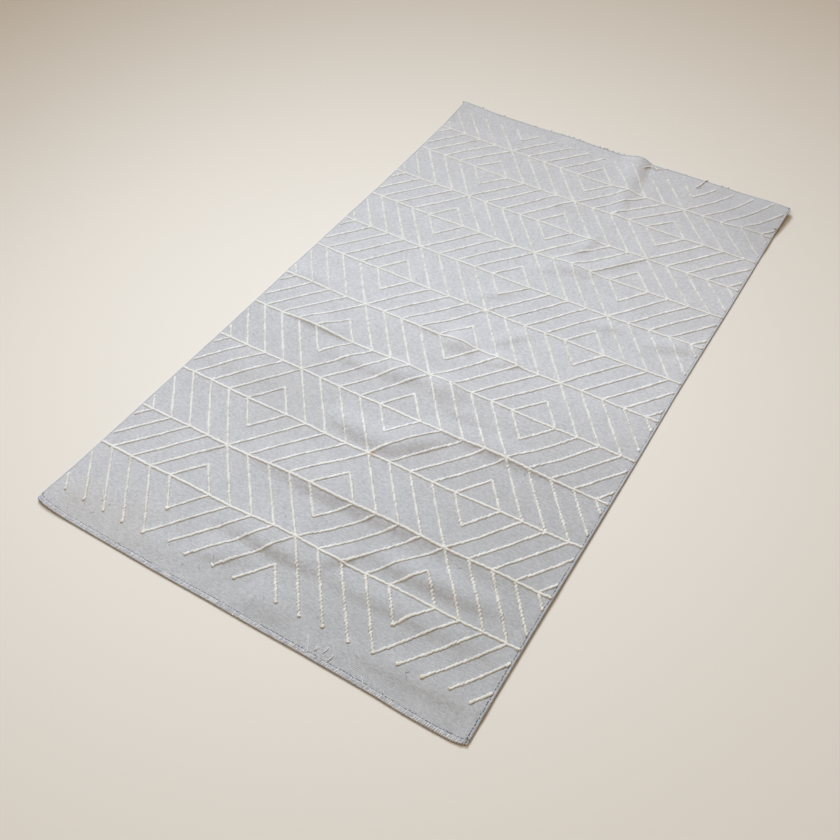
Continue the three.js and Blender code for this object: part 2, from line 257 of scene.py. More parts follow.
@dataclass(frozen=True)
class RugForm:
    """The shape of the cloth on the floor, and the pattern's places on it.

    Every length is in millimetres, and every method takes and gives whole arrays.
    """

    left_draw_in: float = 8.0
    cloth_thickness: float = 2.7
    cockle: float = 0.22
    wobble: float = 1.0
    wobble_turns: tuple[float, float] = (1.3, 2.1)
    far_flattening: float = 0.22
    far_tip_lean: float = 8.0
    far_tip_rise: float = 6.0
    far_tip_units: float = 1.6
    far_bow: float = 4.5
    side_margin: float = 6.3
    slope_step: float = 2.0

    def draw_in(self, y: np.ndarray) -> np.ndarray:
        """How far the left edge is drawn in at a place along the length."""
        return self.left_draw_in * (1 - (y / HALF_LENGTH) ** 2)

    def outward(self, edge: Edge, along: np.ndarray) -> np.ndarray:
        """How far an edge lies outside the even outline at places along it."""
        places, amounts = zip(*OUTWARD[edge])
        return np.interp(along, places, amounts)

    def lift(self, x: np.ndarray, y: np.ndarray) -> np.ndarray:
        """Height of the cloth's underside over the floor.

        Args:
            x: places across the rug.
            y: places along the rug.

        Returns:
            The height at each place, nothing where the rug lies flat.
        """
        total = np.zeros(np.broadcast(x, y).shape)
        for swell in SWELLS:
            cos, sin = math.cos(math.radians(swell.turn)), math.sin(math.radians(swell.turn))
            along = (x - swell.x) * cos + (y - swell.y) * sin
            across = (y - swell.y) * cos - (x - swell.x) * sin
            flank = np.where(across < 0, swell.half_width * swell.steep, swell.half_width)
            reach = (along / swell.half_length) ** 2 + (across / flank) ** 2
            total = total + swell.height * np.clip(1 - reach, 0, 1) ** 2
        return total

    def cockles(self, x: np.ndarray, y: np.ndarray) -> np.ndarray:
        """Small unevenness that hand weaving leaves, from three crossing waves.

        A place is divided by a wave's length in millimetres over a full turn, and the
        inner waves bend the outer ones, so that no two cockles are alike.

        Args:
            x: places across the rug.
            y: places along the rug.

        Returns:
            The rise or dip of the cloth's face at each place.
        """
        second, third = 0.8, 0.6
        waves = (
            np.sin(x / 9.3 + 1.7 * np.sin(y / 31.0)) * np.sin(y / 11.9 + 1.3 * np.sin(x / 47.0))
            + second * np.sin(x / 23.0 - y / 17.0 + 2.0 * np.sin(y / 83.0))
            + third * np.sin(y / 7.1 + 2.2 * np.sin(x / 61.0 + y / 97.0))
        )
        return self.cockle * waves / (1 + second + third)

    def top(self, x: np.ndarray, y: np.ndarray) -> np.ndarray:
        """Height of the cloth's face over the floor."""
        return self.lift(x, y) + self.cloth_thickness + self.cockles(x, y)

    def place(self, u: np.ndarray, v: np.ndarray) -> tuple[np.ndarray, np.ndarray]:
        """Place on the floor of points counted in units across and lines along.

        Args:
            u: units across, from the middle to the right.
            v: lines along, from the near end.

        Returns:
            The places across and along the rug.
        """
        lines, *columns = np.array(PATTERN_LINES, float).T
        from_near, rise, bend, shift, spread = (np.interp(v, lines, column) for column in columns)
        side = u / HALF_UNITS
        inner = 1 - np.clip(np.abs(side), 0, 1) ** 4
        star = BLOCK_UNITS / HALF_UNITS
        spreading = u * (1 - side**2) / (BLOCK_UNITS * (1 - star**2))
        laid = self.wobble * inner * np.clip(v + 1, 0, 1) * np.clip(LAST_LINE + 1 - v, 0, 1)
        turn = self.wobble_turns[0] * u + self.wobble_turns[1] * v
        level = from_near - HALF_LENGTH + rise * side / 2 + bend * side**2
        at_left = self.draw_in(level) - self.outward(Edge.LEFT, level)
        pulled = np.where(u < 0, at_left, self.outward(Edge.RIGHT, level)) * (1 - inner)
        last = np.clip(v - (LAST_LINE - 1), 0, 1)
        in_block = np.clip((u - BLOCK_UNITS) / self.far_tip_units, 0, 1)
        tips = (self.far_tip_lean * last**2 - self.far_bow * 4 * last * (1 - last)) * in_block
        level = level + self.far_tip_rise * last**2 * in_block
        moved = shift * inner + spread * spreading + laid * np.cos(turn)
        unit = (HALF_WIDTH - self.side_margin) / HALF_UNITS
        return u * unit + pulled + moved - tips, level + laid * np.sin(turn)

    def pressed(self, y: np.ndarray) -> np.ndarray:
        """How high the yarn stands at a place along the rug, flatter toward the far end."""
        return 1 - self.far_flattening * (y / HALF_LENGTH + 1) / 2

    def on_cloth(self, u: np.ndarray, v: np.ndarray, over: float = 0.0) -> np.ndarray:
        """Points on the cloth's face, counted in units and lines.

        Args:
            u: units across.
            v: lines along.
            over: height over the cloth's face.

        Returns:
            One row of three coordinates for each point.
        """
        x, y = self.place(u, v)
        return np.stack([x, y, self.top(x, y) + over], axis=-1)

    def facing(self, points: np.ndarray) -> np.ndarray:
        """The way the cloth faces at each point, from the swells alone.

        Args:
            points: one row of coordinates for each point.

        Returns:
            One row of length one for each point.
        """
        x, y, step = points[:, 0], points[:, 1], self.slope_step
        slope_x = (self.lift(x + step, y) - self.lift(x - step, y)) / (2 * step)
        slope_y = (self.lift(x, y + step) - self.lift(x, y - step)) / (2 * step)
        return unit_rows(np.stack([-slope_x, -slope_y, np.ones_like(x)], axis=-1))

    def edge_point(self, edge: Edge, along: np.ndarray, inward: np.ndarray) -> np.ndarray:
        """Places near an edge of the rug.

        Args:
            edge: which edge.
            along: how far along the edge from its middle, to the right or the far end.
            inward: how far in from the outer edge.

        Returns:
            One row of two coordinates for each place.
        """
        inward = inward - self.outward(edge, along)
        places = {
            Edge.NEAR: (along, inward - HALF_LENGTH),
            Edge.FAR: (along, HALF_LENGTH - inward),
            Edge.LEFT: (self.draw_in(along) - HALF_WIDTH + inward, along),
            Edge.RIGHT: (HALF_WIDTH - inward, along),
        }
        return np.stack(places[edge], axis=-1)


FORM = RugForm()


# Small helpers for rows of points and for meshes


def unit_rows(rows: np.ndarray) -> np.ndarray:
    """The same rows, each of length one."""
    return rows / np.maximum(np.linalg.norm(rows, axis=-1, keepdims=True), 1e-12)


def steps_along(path: np.ndarray) -> np.ndarray:
    """How far along a path each of its points lies."""
    return np.r_[0, np.cumsum(np.linalg.norm(np.diff(path, axis=0), axis=1))]


def between(path: np.ndarray, steps: np.ndarray, at: np.ndarray) -> np.ndarray:
    """The points at some distances along a path, whose own points lie at the steps."""
    return np.stack([np.interp(at, steps, column) for column in path.T], axis=-1)


def varied(rng: np.random.Generator, ranges: Sequence[tuple[float, float]], count: int) -> np.ndarray:
    """Uneven sizes for the copies of a stitch: a row for each copy, a column for each range."""
    return np.stack([rng.uniform(low, high, count) for low, high in ranges], axis=-1)


def deselect_all() -> None:
    """Leaves no object selected, so that an operator acts on the new piece alone."""
    bpy.ops.object.select_all(action="DESELECT")


@contextmanager
def edit_mode() -> Iterator[None]:
    """Opens the active piece in edit mode, with all of it selected at first.

    Yields:
        Nothing, while the piece is edited.
    """
    bpy.ops.object.mode_set(mode="EDIT")
    bpy.ops.mesh.select_all(action="SELECT")
    yield
    bpy.ops.object.mode_set(mode="OBJECT")


def select_points(chosen: Callable[[Vector], bool]) -> None:
    """Selects points of the piece that is in edit mode, by their place.

    Args:
        chosen: a test of one point's place.
    """
    bpy.ops.mesh.select_all(action="DESELECT")
    mesh = bpy.context.active_object.data
    points = bmesh.from_edit_mesh(mesh)
    for vert in points.verts:
        vert.select_set(chosen(vert.co))
    points.select_flush(True)
    bmesh.update_edit_mesh(mesh)


def extrude(inward: float, up: float) -> None:
    """Extrudes what is selected.

    Args:
        inward: the way along Y, in millimetres.
        up: the way along Z, in millimetres.
    """
    bpy.ops.mesh.extrude_region_move(
        TRANSFORM_OT_translate={"value": (0.0, inward * MM, up * MM)}
    )


def capsule(segments: int, rings: int, halves: Sequence[float]) -> Object:
    """Models an egg shape along X.

    Args:
        segments: how many points go round it.
        rings: how many bands it has from pole to pole.
        halves: half its length, width and height.

    Returns:
        The new piece, which is the active one.
    """
    deselect_all()
    bpy.ops.mesh.primitive_uv_sphere_add(
        segments=segments, ring_count=rings, radius=1.0, rotation=(0.0, math.pi / 2, 0.0)
    )
    bpy.ops.object.transform_apply(location=True, rotation=True, scale=True)
    with edit_mode():
        bpy.ops.transform.resize(value=[half * MM for half in halves])
    return bpy.context.active_object


def points_of(mesh: Mesh) -> np.ndarray:
    """The points of a mesh, one row of three coordinates in metres for each.

    Args:
        mesh: the mesh that is read.

    Returns:
        The rows.
    """
    flat = np.empty(len(mesh.vertices) * 3, dtype=np.float32)
    mesh.vertices.foreach_get("co", flat)
    return flat.reshape(-1, 3).astype(float)


def move_points(mesh: Mesh, points: np.ndarray) -> None:
    """Moves the points of a mesh to the places in metres that the rows give."""
    mesh.vertices.foreach_set("co", points.astype(np.float32).ravel())
    mesh.update()


def piece_from(
    name: str,
    points: np.ndarray,
    faces: Sequence[Sequence[int]],
    uvs: np.ndarray,
    shades: np.ndarray | None = None,
) -> Object:
    """Makes a smooth mesh piece at the origin.

    Args:
        name: the piece's name.
        points: one row of three coordinates in millimetres for each point.
        faces: the point numbers of each face.
        uvs: one row of two for each point.
        shades: one number from 0 to 1 for each point, or none.

    Returns:
        The new piece.
    """
    mesh = bpy.data.meshes.new(name)
    mesh.from_pydata((points * MM).tolist(), [], faces)
    mesh.polygons.foreach_set("use_smooth", np.ones(len(mesh.polygons), dtype=bool))
    corners = np.empty(len(mesh.loops), dtype=np.int32)
    mesh.loops.foreach_get("vertex_index", corners)
    layer = mesh.uv_layers.new(name="yarn")
    layer.data.foreach_set("uv", uvs[corners].astype(np.float32).ravel())
    if shades is not None:
        shade = mesh.attributes.new("shade", "FLOAT", "POINT")
        shade.data.foreach_set("value", shades.astype(np.float32))
    mesh.update()
    piece = bpy.data.objects.new(name, mesh)
    bpy.context.scene.collection.objects.link(piece)
    return piece


def band_faces(rings: int, sides: int, first: int = 0) -> list[tuple[int, ...]]:
    """The four-sided faces between closed rings of points.

    Args:
        rings: how many rings there are, one after another.
        sides: how many points each ring has.
        first: the number of the first point.

    Returns:
        The point numbers of each face.
    """
    return [
        (low + k, low + (k + 1) % sides, low + sides + (k + 1) % sides, low + sides + k)
        for low in range(first, first + (rings - 1) * sides, sides)
        for k in range(sides)
    ]


def swept(name: str, tubes: Sequence[Tube], sides: int) -> Object:
    """Sweeps an oval along the middle line of each tube, and closes both ends.

    Args:
        name: the piece's name.
        tubes: the tubes that the piece has.
        sides: how many points go round each.

    Returns:
        The new piece. Its UV map gives the way along and round each tube.
    """
    points: list[np.ndarray] = []
    faces: list[tuple[int, ...]] = []
    uvs: list[np.ndarray] = []
    first = 0
    angles = np.arange(sides) * 2 * math.pi / sides - math.pi / 2
    for path, facing, width, height in tubes:
        count = len(path)
        forward = unit_rows(np.gradient(path, axis=0))
        sideways = unit_rows(np.cross(facing, forward))
        upward = np.cross(forward, sideways)
        ring = (
            path[:, None]
            + sideways[:, None] * (np.cos(angles)[None, :] * width[:, None])[..., None]
            + upward[:, None] * (np.sin(angles)[None, :] * height[:, None])[..., None]
        )
        steps = steps_along(path)
        points += [ring.reshape(-1, 3), path[:1], path[-1:]]
        along, around = np.repeat(steps, sides), np.tile(np.arange(sides) / sides, count)
        uvs += [np.stack([along, around], axis=-1), [[0, 0.5]], [[steps[-1], 0.5]]]
        faces += band_faces(count, sides, first)
        start = first + count * sides
        last = start - sides
        for k in range(sides):
            after = (k + 1) % sides
            faces.append((start, first + after, first + k))
            faces.append((start + 1, last + k, last + after))
        first = start + 2
    return piece_from(name, np.concatenate(points), faces, np.concatenate(uvs))


def copied(name: str, model: Object, run: StitchRun) -> Object:
    """Copies one modelled stitch to every place of a run, as one joined mesh.

    Args:
        name: the joined piece's name.
        model: the stitch, along X with its top to Z, in metres.
        run: where the copies go, in millimetres.

    Returns:
        The joined piece. The model itself is removed.
    """
    mesh = model.data
    rest = points_of(mesh) / MM
    shape = [tuple(face.vertices) for face in mesh.polygons]
    along = unit_rows(run.along)
    sideways = unit_rows(np.cross(run.upward, along))
    axes = np.stack([along, sideways, np.cross(along, sideways)], axis=1)
    sized = rest[None] * run.sizes[:, None, :]
    points = np.einsum("nkc,ncd->nkd", sized, axes) + run.places[:, None, :]
    copies, count = len(run.places), len(rest)
    faces = [
        tuple(number + copy * count for number in face) for copy in range(copies) for face in shape
    ]
    shades = np.repeat(np.random.default_rng(SEED).uniform(0, 1, copies), count)
    round_way = np.arctan2(rest[:, 2], rest[:, 1])
    uvs = np.tile(np.stack([rest[:, 0], round_way], axis=-1), (copies, 1))
    bpy.data.objects.remove(model)
    bpy.data.meshes.remove(mesh)
    return piece_from(name, points.reshape(-1, 3), faces, uvs, shades)


# Small helpers for materials


def linear(code: str) -> tuple[float, float, float, float]:
    """The linear colour of an sRGB hex code.

    Args:
        code: six hex digits after a hash.

    Returns:
        Red, green, blue and an alpha of one.
    """
    shares = [int(code[i : i + 2], 16) / 255 for i in (1, 3, 5)]
    red, green, blue = (s / 12.92 if s <= 0.04045 else ((s + 0.055) / 1.055) ** 2.4 for s in shares)
    return (red, green, blue, 1.0)


BLACK, GREY, WHITE = ((tone, tone, tone, 1.0) for tone in (0.0, 0.5, 1.0))


def per_metre(size: float) -> float:
    """How many marks of a size go in a metre, which is a pattern's scale there."""
    return 1 / (size * MM)


class Recipe:
    """A material in the making: its nodes, and the object coordinates that they read."""

    def __init__(self, name: str) -> None:
        """Starts an empty node material.

        Args:
            name: the material's name.
        """
        self.material = bpy.data.materials.new(name)
        self.material.use_nodes = True
        self.tree = self.material.node_tree
        self.tree.nodes.clear()
        self.place = self.add("TexCoord").outputs["Object"]

    def add(self, kind: str, inputs: dict[str | int, Any] | None = None, **settings: Any) -> Node:
        """Adds a shader node with its settings and links.

        Args:
            kind: the node's type, without its common first part.
            inputs: a constant, or another node's output, for each input by name or number.
            settings: properties of the node.

        Returns:
            The new node.
        """
        node = self.tree.nodes.new(f"ShaderNode{kind}")
        for name, value in settings.items():
            setattr(node, name, value)
        for key, value in (inputs or {}).items():
            if isinstance(value, NodeSocket):
                self.tree.links.new(value, node.inputs[key])
            else:
                node.inputs[key].default_value = value
        return node

    def summed(self, total: NodeSocket, *parts: tuple[NodeSocket, float]) -> NodeSocket:
        """Adds several patterns to a first one.

        Args:
            total: the first pattern.
            parts: each other pattern, and what it is multiplied by.

        Returns:
            The sum.
        """
        for part, share in parts:
            inputs = {0: part, 1: share, 2: total}
            total = self.add("Math", inputs, operation="MULTIPLY_ADD").outputs[0]
        return total

    def toned(self, pattern: NodeSocket, low: float, high: float, deep: str, pale: str) -> NodeSocket:
        """Turns a pattern to the tones of dyed yarn.

        Args:
            pattern: the pattern.
            low: where the deep tone ends.
            high: where the pale tone starts.
            deep: the deep colour.
            pale: the pale colour.

        Returns:
            The colour.
        """
        tone = self.add("MapRange", {"Value": pattern, "From Min": low, "From Max": high})
        inputs = {0: tone.outputs[0], 6: linear(deep), 7: linear(pale)}
        return self.add("Mix", inputs, data_type="RGBA").outputs[2]

    def stained_and_shaded(self, colour: NodeSocket) -> NodeSocket:
        """Lays the stains and the patches of painted shade over a colour, each one fading out from its
        middle.

        Args:
            colour: the colour without them.

        Returns:
            The colour with its stains and painted shade.
        """
        full_share = 0.3
        level = self.add("Mapping", {"Vector": self.place, "Scale": (1.0, 1.0, 0.0)}).outputs[0]
        for tone_patch in STAINS_AND_SHADE:
            middle = (tone_patch.x * MM, tone_patch.y * MM, 0.0)
            away = self.add("VectorMath", {0: level, 1: middle}, operation="DISTANCE")
            radius = tone_patch.radius * MM
            limits = {"From Min": radius, "From Max": full_share * radius, "To Max": tone_patch.strength}
            share = self.add("MapRange", {"Value": away.outputs["Value"], **limits})
            inputs = {0: share.outputs[0], 6: colour, 7: linear(tone_patch.colour)}
            colour = self.add("Mix", inputs, data_type="RGBA").outputs[2]
        return colour

    def painted_shade_band(self, colour: NodeSocket, band_shade: str) -> NodeSocket:
        """Multiplies a slightly darker band into the colour, below the middle of the rug and fading
        toward its near end: painted shade, for the light that falls off there.

        Args:
            colour: the colour outside the band.
            band_shade: the tone that the band of painted shade multiplies in.

        Returns:
            The colour with its band of painted shade.
        """
        starts = {"From Min": 0.03, "From Max": -0.19}
        ends = {"From Min": -0.26, "From Max": -0.72, "To Min": 1.0, "To Max": 0.2}
        along = self.add("SeparateXYZ", {0: self.place}).outputs["Y"]
        begun, faded = (
            self.add("MapRange", {"Value": along, **limits}, interpolation_type="SMOOTHSTEP")
            for limits in (starts, ends)
        )
        share = self.add("Math", {0: begun.outputs[0], 1: faded.outputs[0]}, operation="MULTIPLY")
        inputs = {0: share.outputs[0], 6: colour, 7: linear(band_shade)}
        return self.add("Mix", inputs, data_type="RGBA", blend_type="MULTIPLY").outputs[2]

    def painted_shade_near(self, colour: NodeSocket, near_shade: str) -> NodeSocket:
        """Darkens a colour little by little toward the near right corner: painted shade, for the light
        that falls off on that part of the rug.

        Args:
            colour: the colour without the shade.
            near_shade: the tone that the full painted shade multiplies in.

        Returns:
            The colour with its painted shade.
        """
        to_corner = (0.6, -0.8, 0.0)
        toward = self.add("VectorMath", {0: self.place, 1: to_corner}, operation="DOT_PRODUCT")
        limits = {"From Min": 0.2, "From Max": 0.6, "To Max": 0.9}
        shade_amount = self.add("MapRange", {"Value": toward.outputs["Value"], **limits})
        inputs = {0: shade_amount.outputs[0], 6: colour, 7: linear(near_shade)}
        return self.add("Mix", inputs, data_type="RGBA", blend_type="MULTIPLY").outputs[2]

    def closed(
        self, colour: NodeSocket, height: NodeSocket, depth: float, surface: dict[str, float]
    ) -> Material:
        """Ends a cloth or yarn material: bump, shader and output.

        Args:
            colour: the surface's colour.
            height: the surface's relief, from 0 to 1.
            depth: how deep that relief is.
            surface: roughness and sheen, the light that loose fibres catch at a low angle.

        Returns:
            The finished material.
        """
        bump = self.add("Bump", {"Strength": 1.0, "Distance": depth * MM, "Height": height})
        inputs = {"IOR": 1.5, "Specular IOR Level": 0.25, "Sheen Roughness": 0.6, **surface}
        inputs |= {"Base Color": colour, "Normal": bump.outputs["Normal"]}
        shader = self.add("BsdfPrincipled", inputs)
        self.add("OutputMaterial", {"Surface": shader.outputs["BSDF"]})
        return self.material


# Finishes


@dataclass(frozen=True)
class WeftFacedWool:
    """Weft-faced plain weave in pale blue-grey wool and cotton, woven by hand.

    The picks are drawn coarser than the real ones, so that they show in the picture.
    Two sizes of one pattern are its length across the rug and its height along it.
    """

    pale: str = "#e6e6ea"
    deep: str = "#c4c6c9"
    fleck: str = "#7f838a"
    # Tone of the painted shade that darkens the cloth toward the near right corner, where the light
    # falls off.
    near_shade: str = "#e6e7e6"
    # Tone of the painted shade band below the middle of the rug, where the light falls off.
    band_shade: str = "#f5f4f3"
    pick_height: float = 2.6
    pick_length: float = 4.4
    pick_gap: float = 0.35
    sway: float = 6.0
    sway_size: float = 111.11
    row_turn: float = -0.02
    streak: tuple[float, float] = (9.0909, 2.7778)
    grain: tuple[float, float] = (6.6667, 2.439)
    cloud: float = 41.667
    fibre: float = 2.381
    fleck_cell: tuple[float, float] = (21.739, 15.625)
    relief: float = 0.5
    roughness: float = 0.92
    sheen: float = 0.15

    def flecked(self, recipe: Recipe, colour: NodeSocket, place: NodeSocket) -> NodeSocket:
        """Lays sparse dark flecks over the colour.

        Args:
            recipe: the material in the making.
            colour: the colour without flecks.
            place: the coordinates that the flecks follow.

        Returns:
            The colour with its flecks.
        """
        bare_share = 0.74
        limits = {"From Min": 0.1, "From Max": 0.04, "To Max": 0.8}
        scale = (*map(per_metre, self.fleck_cell), 0.0)
        dots = recipe.add("Mapping", {"Vector": place, "Scale": scale}).outputs[0]
        cells = recipe.add("TexVoronoi", {"Vector": dots, "Scale": 1.0, "Randomness": 1.0}).outputs
        near = recipe.add("MapRange", {"Value": cells["Distance"], **limits})
        rare = recipe.add("Math", {0: cells["Color"], 1: bare_share}, operation="GREATER_THAN")
        share = recipe.add("Math", {0: near.outputs[0], 1: rare.outputs[0]}, operation="MULTIPLY")
        inputs = {0: share.outputs[0], 6: colour, 7: linear(self.fleck)}
        return recipe.add("Mix", inputs, data_type="RGBA").outputs[2]

    def material(self) -> Material:
        """Makes the material.

        Returns:
            The material. Packed picks give the eye fine level rows, and uneven yarn
            gives it soft streaks across the rug, pale clouds and sparse dark flecks.
        """
        recipe = Recipe("weft_faced_wool")
        place = recipe.place
        inputs = {"Vector": place, "Scale": per_metre(self.sway_size), "Detail": 1.0}
        bent = recipe.add("TexNoise", inputs).outputs["Color"]
        inputs = {0: bent, 1: (self.sway * MM, self.sway * MM, 0.0), 2: place}
        swayed = recipe.add("VectorMath", inputs, operation="MULTIPLY_ADD").outputs[0]
        inputs = {"Vector": swayed, "Rotation": (0.0, 0.0, self.row_turn), "Scale": (1.0, 1.0, 0.0)}
        level = recipe.add("Mapping", inputs).outputs[0]
        inputs = {"Vector": level, "Scale": 1.0, "Bias": 0.0, "Color1": BLACK, "Color2": WHITE}
        inputs |= {"Mortar": GREY, "Mortar Size": self.pick_gap * MM, "Mortar Smooth": 1.0}
        inputs |= {"Brick Width": self.pick_length * MM, "Row Height": self.pick_height * MM}
        picks = recipe.add("TexBrick", inputs, offset=0.5).outputs
        patterns = []
        for where, size, detail, roughness in (
            (level, (*self.streak, math.inf), 3.0, 0.6),
            (level, (*self.grain, math.inf), 2.0, 0.7),
            (place, 3 * (self.cloud,), 3.0, 0.55),
            (place, 3 * (self.fibre,), 2.0, 0.5),
        ):
            inputs = {"Vector": where, "Scale": tuple(map(per_metre, size))}
            sized = recipe.add("Mapping", inputs).outputs[0]
            inputs = {"Vector": sized, "Scale": 1.0, "Detail": detail, "Roughness": roughness}
            patterns.append(recipe.add("TexNoise", inputs).outputs["Fac"])
        streaks, grain, clouds, fibres = patterns
        tone = recipe.summed(grain, (streaks, 0.9), (picks["Color"], 0.42), (fibres, 0.5), (clouds, 0.4))
        colour = self.flecked(recipe, recipe.toned(tone, 1.2, 2.0, self.deep, self.pale), swayed)
        # Painted shade: a darker band below the middle of the rug, and darkening toward the near right
        # corner, where the light falls off.
        colour = recipe.painted_shade_near(recipe.painted_shade_band(colour, self.band_shade), self.near_shade)
        height = recipe.summed(streaks, (picks["Fac"], -0.8), (fibres, 0.5))
        surface = {"Roughness": self.roughness, "Sheen Weight": self.sheen}
        return recipe.closed(recipe.stained_and_shaded(colour), height, self.relief, surface)


@dataclass(frozen=True)
class PliedYarn:
    """Soft plied wool yarn, with a slow twist that shows as slanting shade."""

    name: str
    pale: str
    deep: str
    twist: float = 3.0
    by_copy: float = 0.5
    # Tone of the painted shade that darkens the yarn toward the near right corner, where the light falls
    # off.
    near_shade: str = "#f4f2ec"
    fibre: float = 1.42857
    patch: float = 16.6667
    relief: float = 0.35
    roughness: float = 0.88
    sheen: float = 0.2

    def material(self) -> Material:
        """Makes the material.

        Returns:
            The material. The plies give the eye slanting bands with soft dark lines
            between them, and each stitch has a tone of its own.
        """
        recipe = Recipe(self.name)
        route = recipe.add("UVMap", uv_map="yarn").outputs[0]
        split = recipe.add("SeparateXYZ", {0: route}).outputs
        turns = recipe.add("Math", {0: split["X"], 1: self.twist}, operation="DIVIDE").outputs[0]
        turned = recipe.add("Math", {0: turns, 1: split["Y"]}, operation="ADD").outputs[0]
        angle = recipe.add("Math", {0: turned, 1: 2 * math.pi}, operation="MULTIPLY").outputs[0]
        ply = recipe.add("Math", {0: angle}, operation="SINE").outputs[0]
        fibres, patches = (
            recipe.add("TexNoise", {"Vector": recipe.place, "Scale": per_metre(size), "Detail": detail})
            for size, detail in ((self.fibre, 3.0), (self.patch, 2.0))
        )
        fibres, patches = fibres.outputs["Fac"], patches.outputs["Fac"]
        by_copy = recipe.add("Attribute", attribute_name="shade").outputs["Fac"]
        tone = recipe.summed(patches, (ply, 0.1), (fibres, 0.3), (by_copy, self.by_copy))
        # Painted shade: the yarn darkens toward the near right corner, where the light falls off.
        colour = recipe.painted_shade_near(recipe.toned(tone, 0.4, 1.2, self.deep, self.pale), self.near_shade)
        height = recipe.summed(fibres, (ply, 0.35))
        surface = {"Roughness": self.roughness, "Sheen Weight": self.sheen}
        return recipe.closed(recipe.stained_and_shaded(colour), height, self.relief, surface)


@dataclass(frozen=True)
class PaintedFloor:
    """A plain pale studio floor, matt and without joints."""

    colour: str = "#e7e1d7"
    roughness: float = 0.75

    def material(self) -> Material:
        """Makes the material.

        Returns:
            The material: one even cream tone that lets the rug's shadow show.
        """
        recipe = Recipe("matt_floor_paint")
        inputs = {"Base Color": linear(self.colour), "Roughness": self.roughness}
        shader = recipe.add("BsdfPrincipled", {**inputs, "Specular IOR Level": 0.2})
        recipe.add("OutputMaterial", {"Surface": shader.outputs["BSDF"]})
        return recipe.material


GROUND_FINISH = WeftFacedWool()
LINE_FINISH = PliedYarn("ivory_laid_yarn", pale="#f6f6f4", deep="#e2e1dd", twist=9.0)
CORD_FINISH = PliedYarn("ivory_wrapped_yarn", pale="#f3f3f0", deep="#d8d7d3", twist=5.0, by_copy=0.8)
KNOT_FINISH = PliedYarn("yellowed_knot_yarn", pale="#f8f5ec", deep="#ebe5d8", twist=4.0)
BINDING_FINISH = PliedYarn("overcast_grey_yarn", pale="#f6f7fb", deep="#babdc8", by_copy=1.0)
PALE_EDGE_FINISH = PliedYarn("turned_edge_yarn", pale="#cfd2d8", deep="#b4b7be")
SELVEDGE_FINISH = PliedYarn("selvedge_yarn", pale="#e2e3e7", deep="#bfc1c7", by_copy=0.6)
# The core is a darker grey than the overcast yarn, so the gaps between the stitches read as dark ticks:
# painted shade in the gaps.
BINDING_CORE_FINISH = PliedYarn("binding_cord", pale="#c8cbd4", deep="#a8acb7")
THREAD_FINISH = PliedYarn("pale_loose_yarn", pale="#ffffff", deep="#fafafa")
DARK_THREAD_FINISH = PliedYarn("dark_weft_ends", pale="#97999d", deep="#74767a", twist=1.5)
SEAM_FINISH = PliedYarn("dark_sewing_thread", pale="#868b99", deep="#5a5f6d", twist=1.5)


def dressed(
    piece: Object, finish: WeftFacedWool | PliedYarn, slot: str
) -> Object:
    """Gives a piece its material, and fixes it to the rug's one body.

    Args:
        piece: the piece.
        finish: what it is made of.
        slot: not used.

    Returns:
        The same piece.
    """
    piece.data.materials.append(finish.material())
    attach(piece, "root")
    return piece


# The rug's pieces


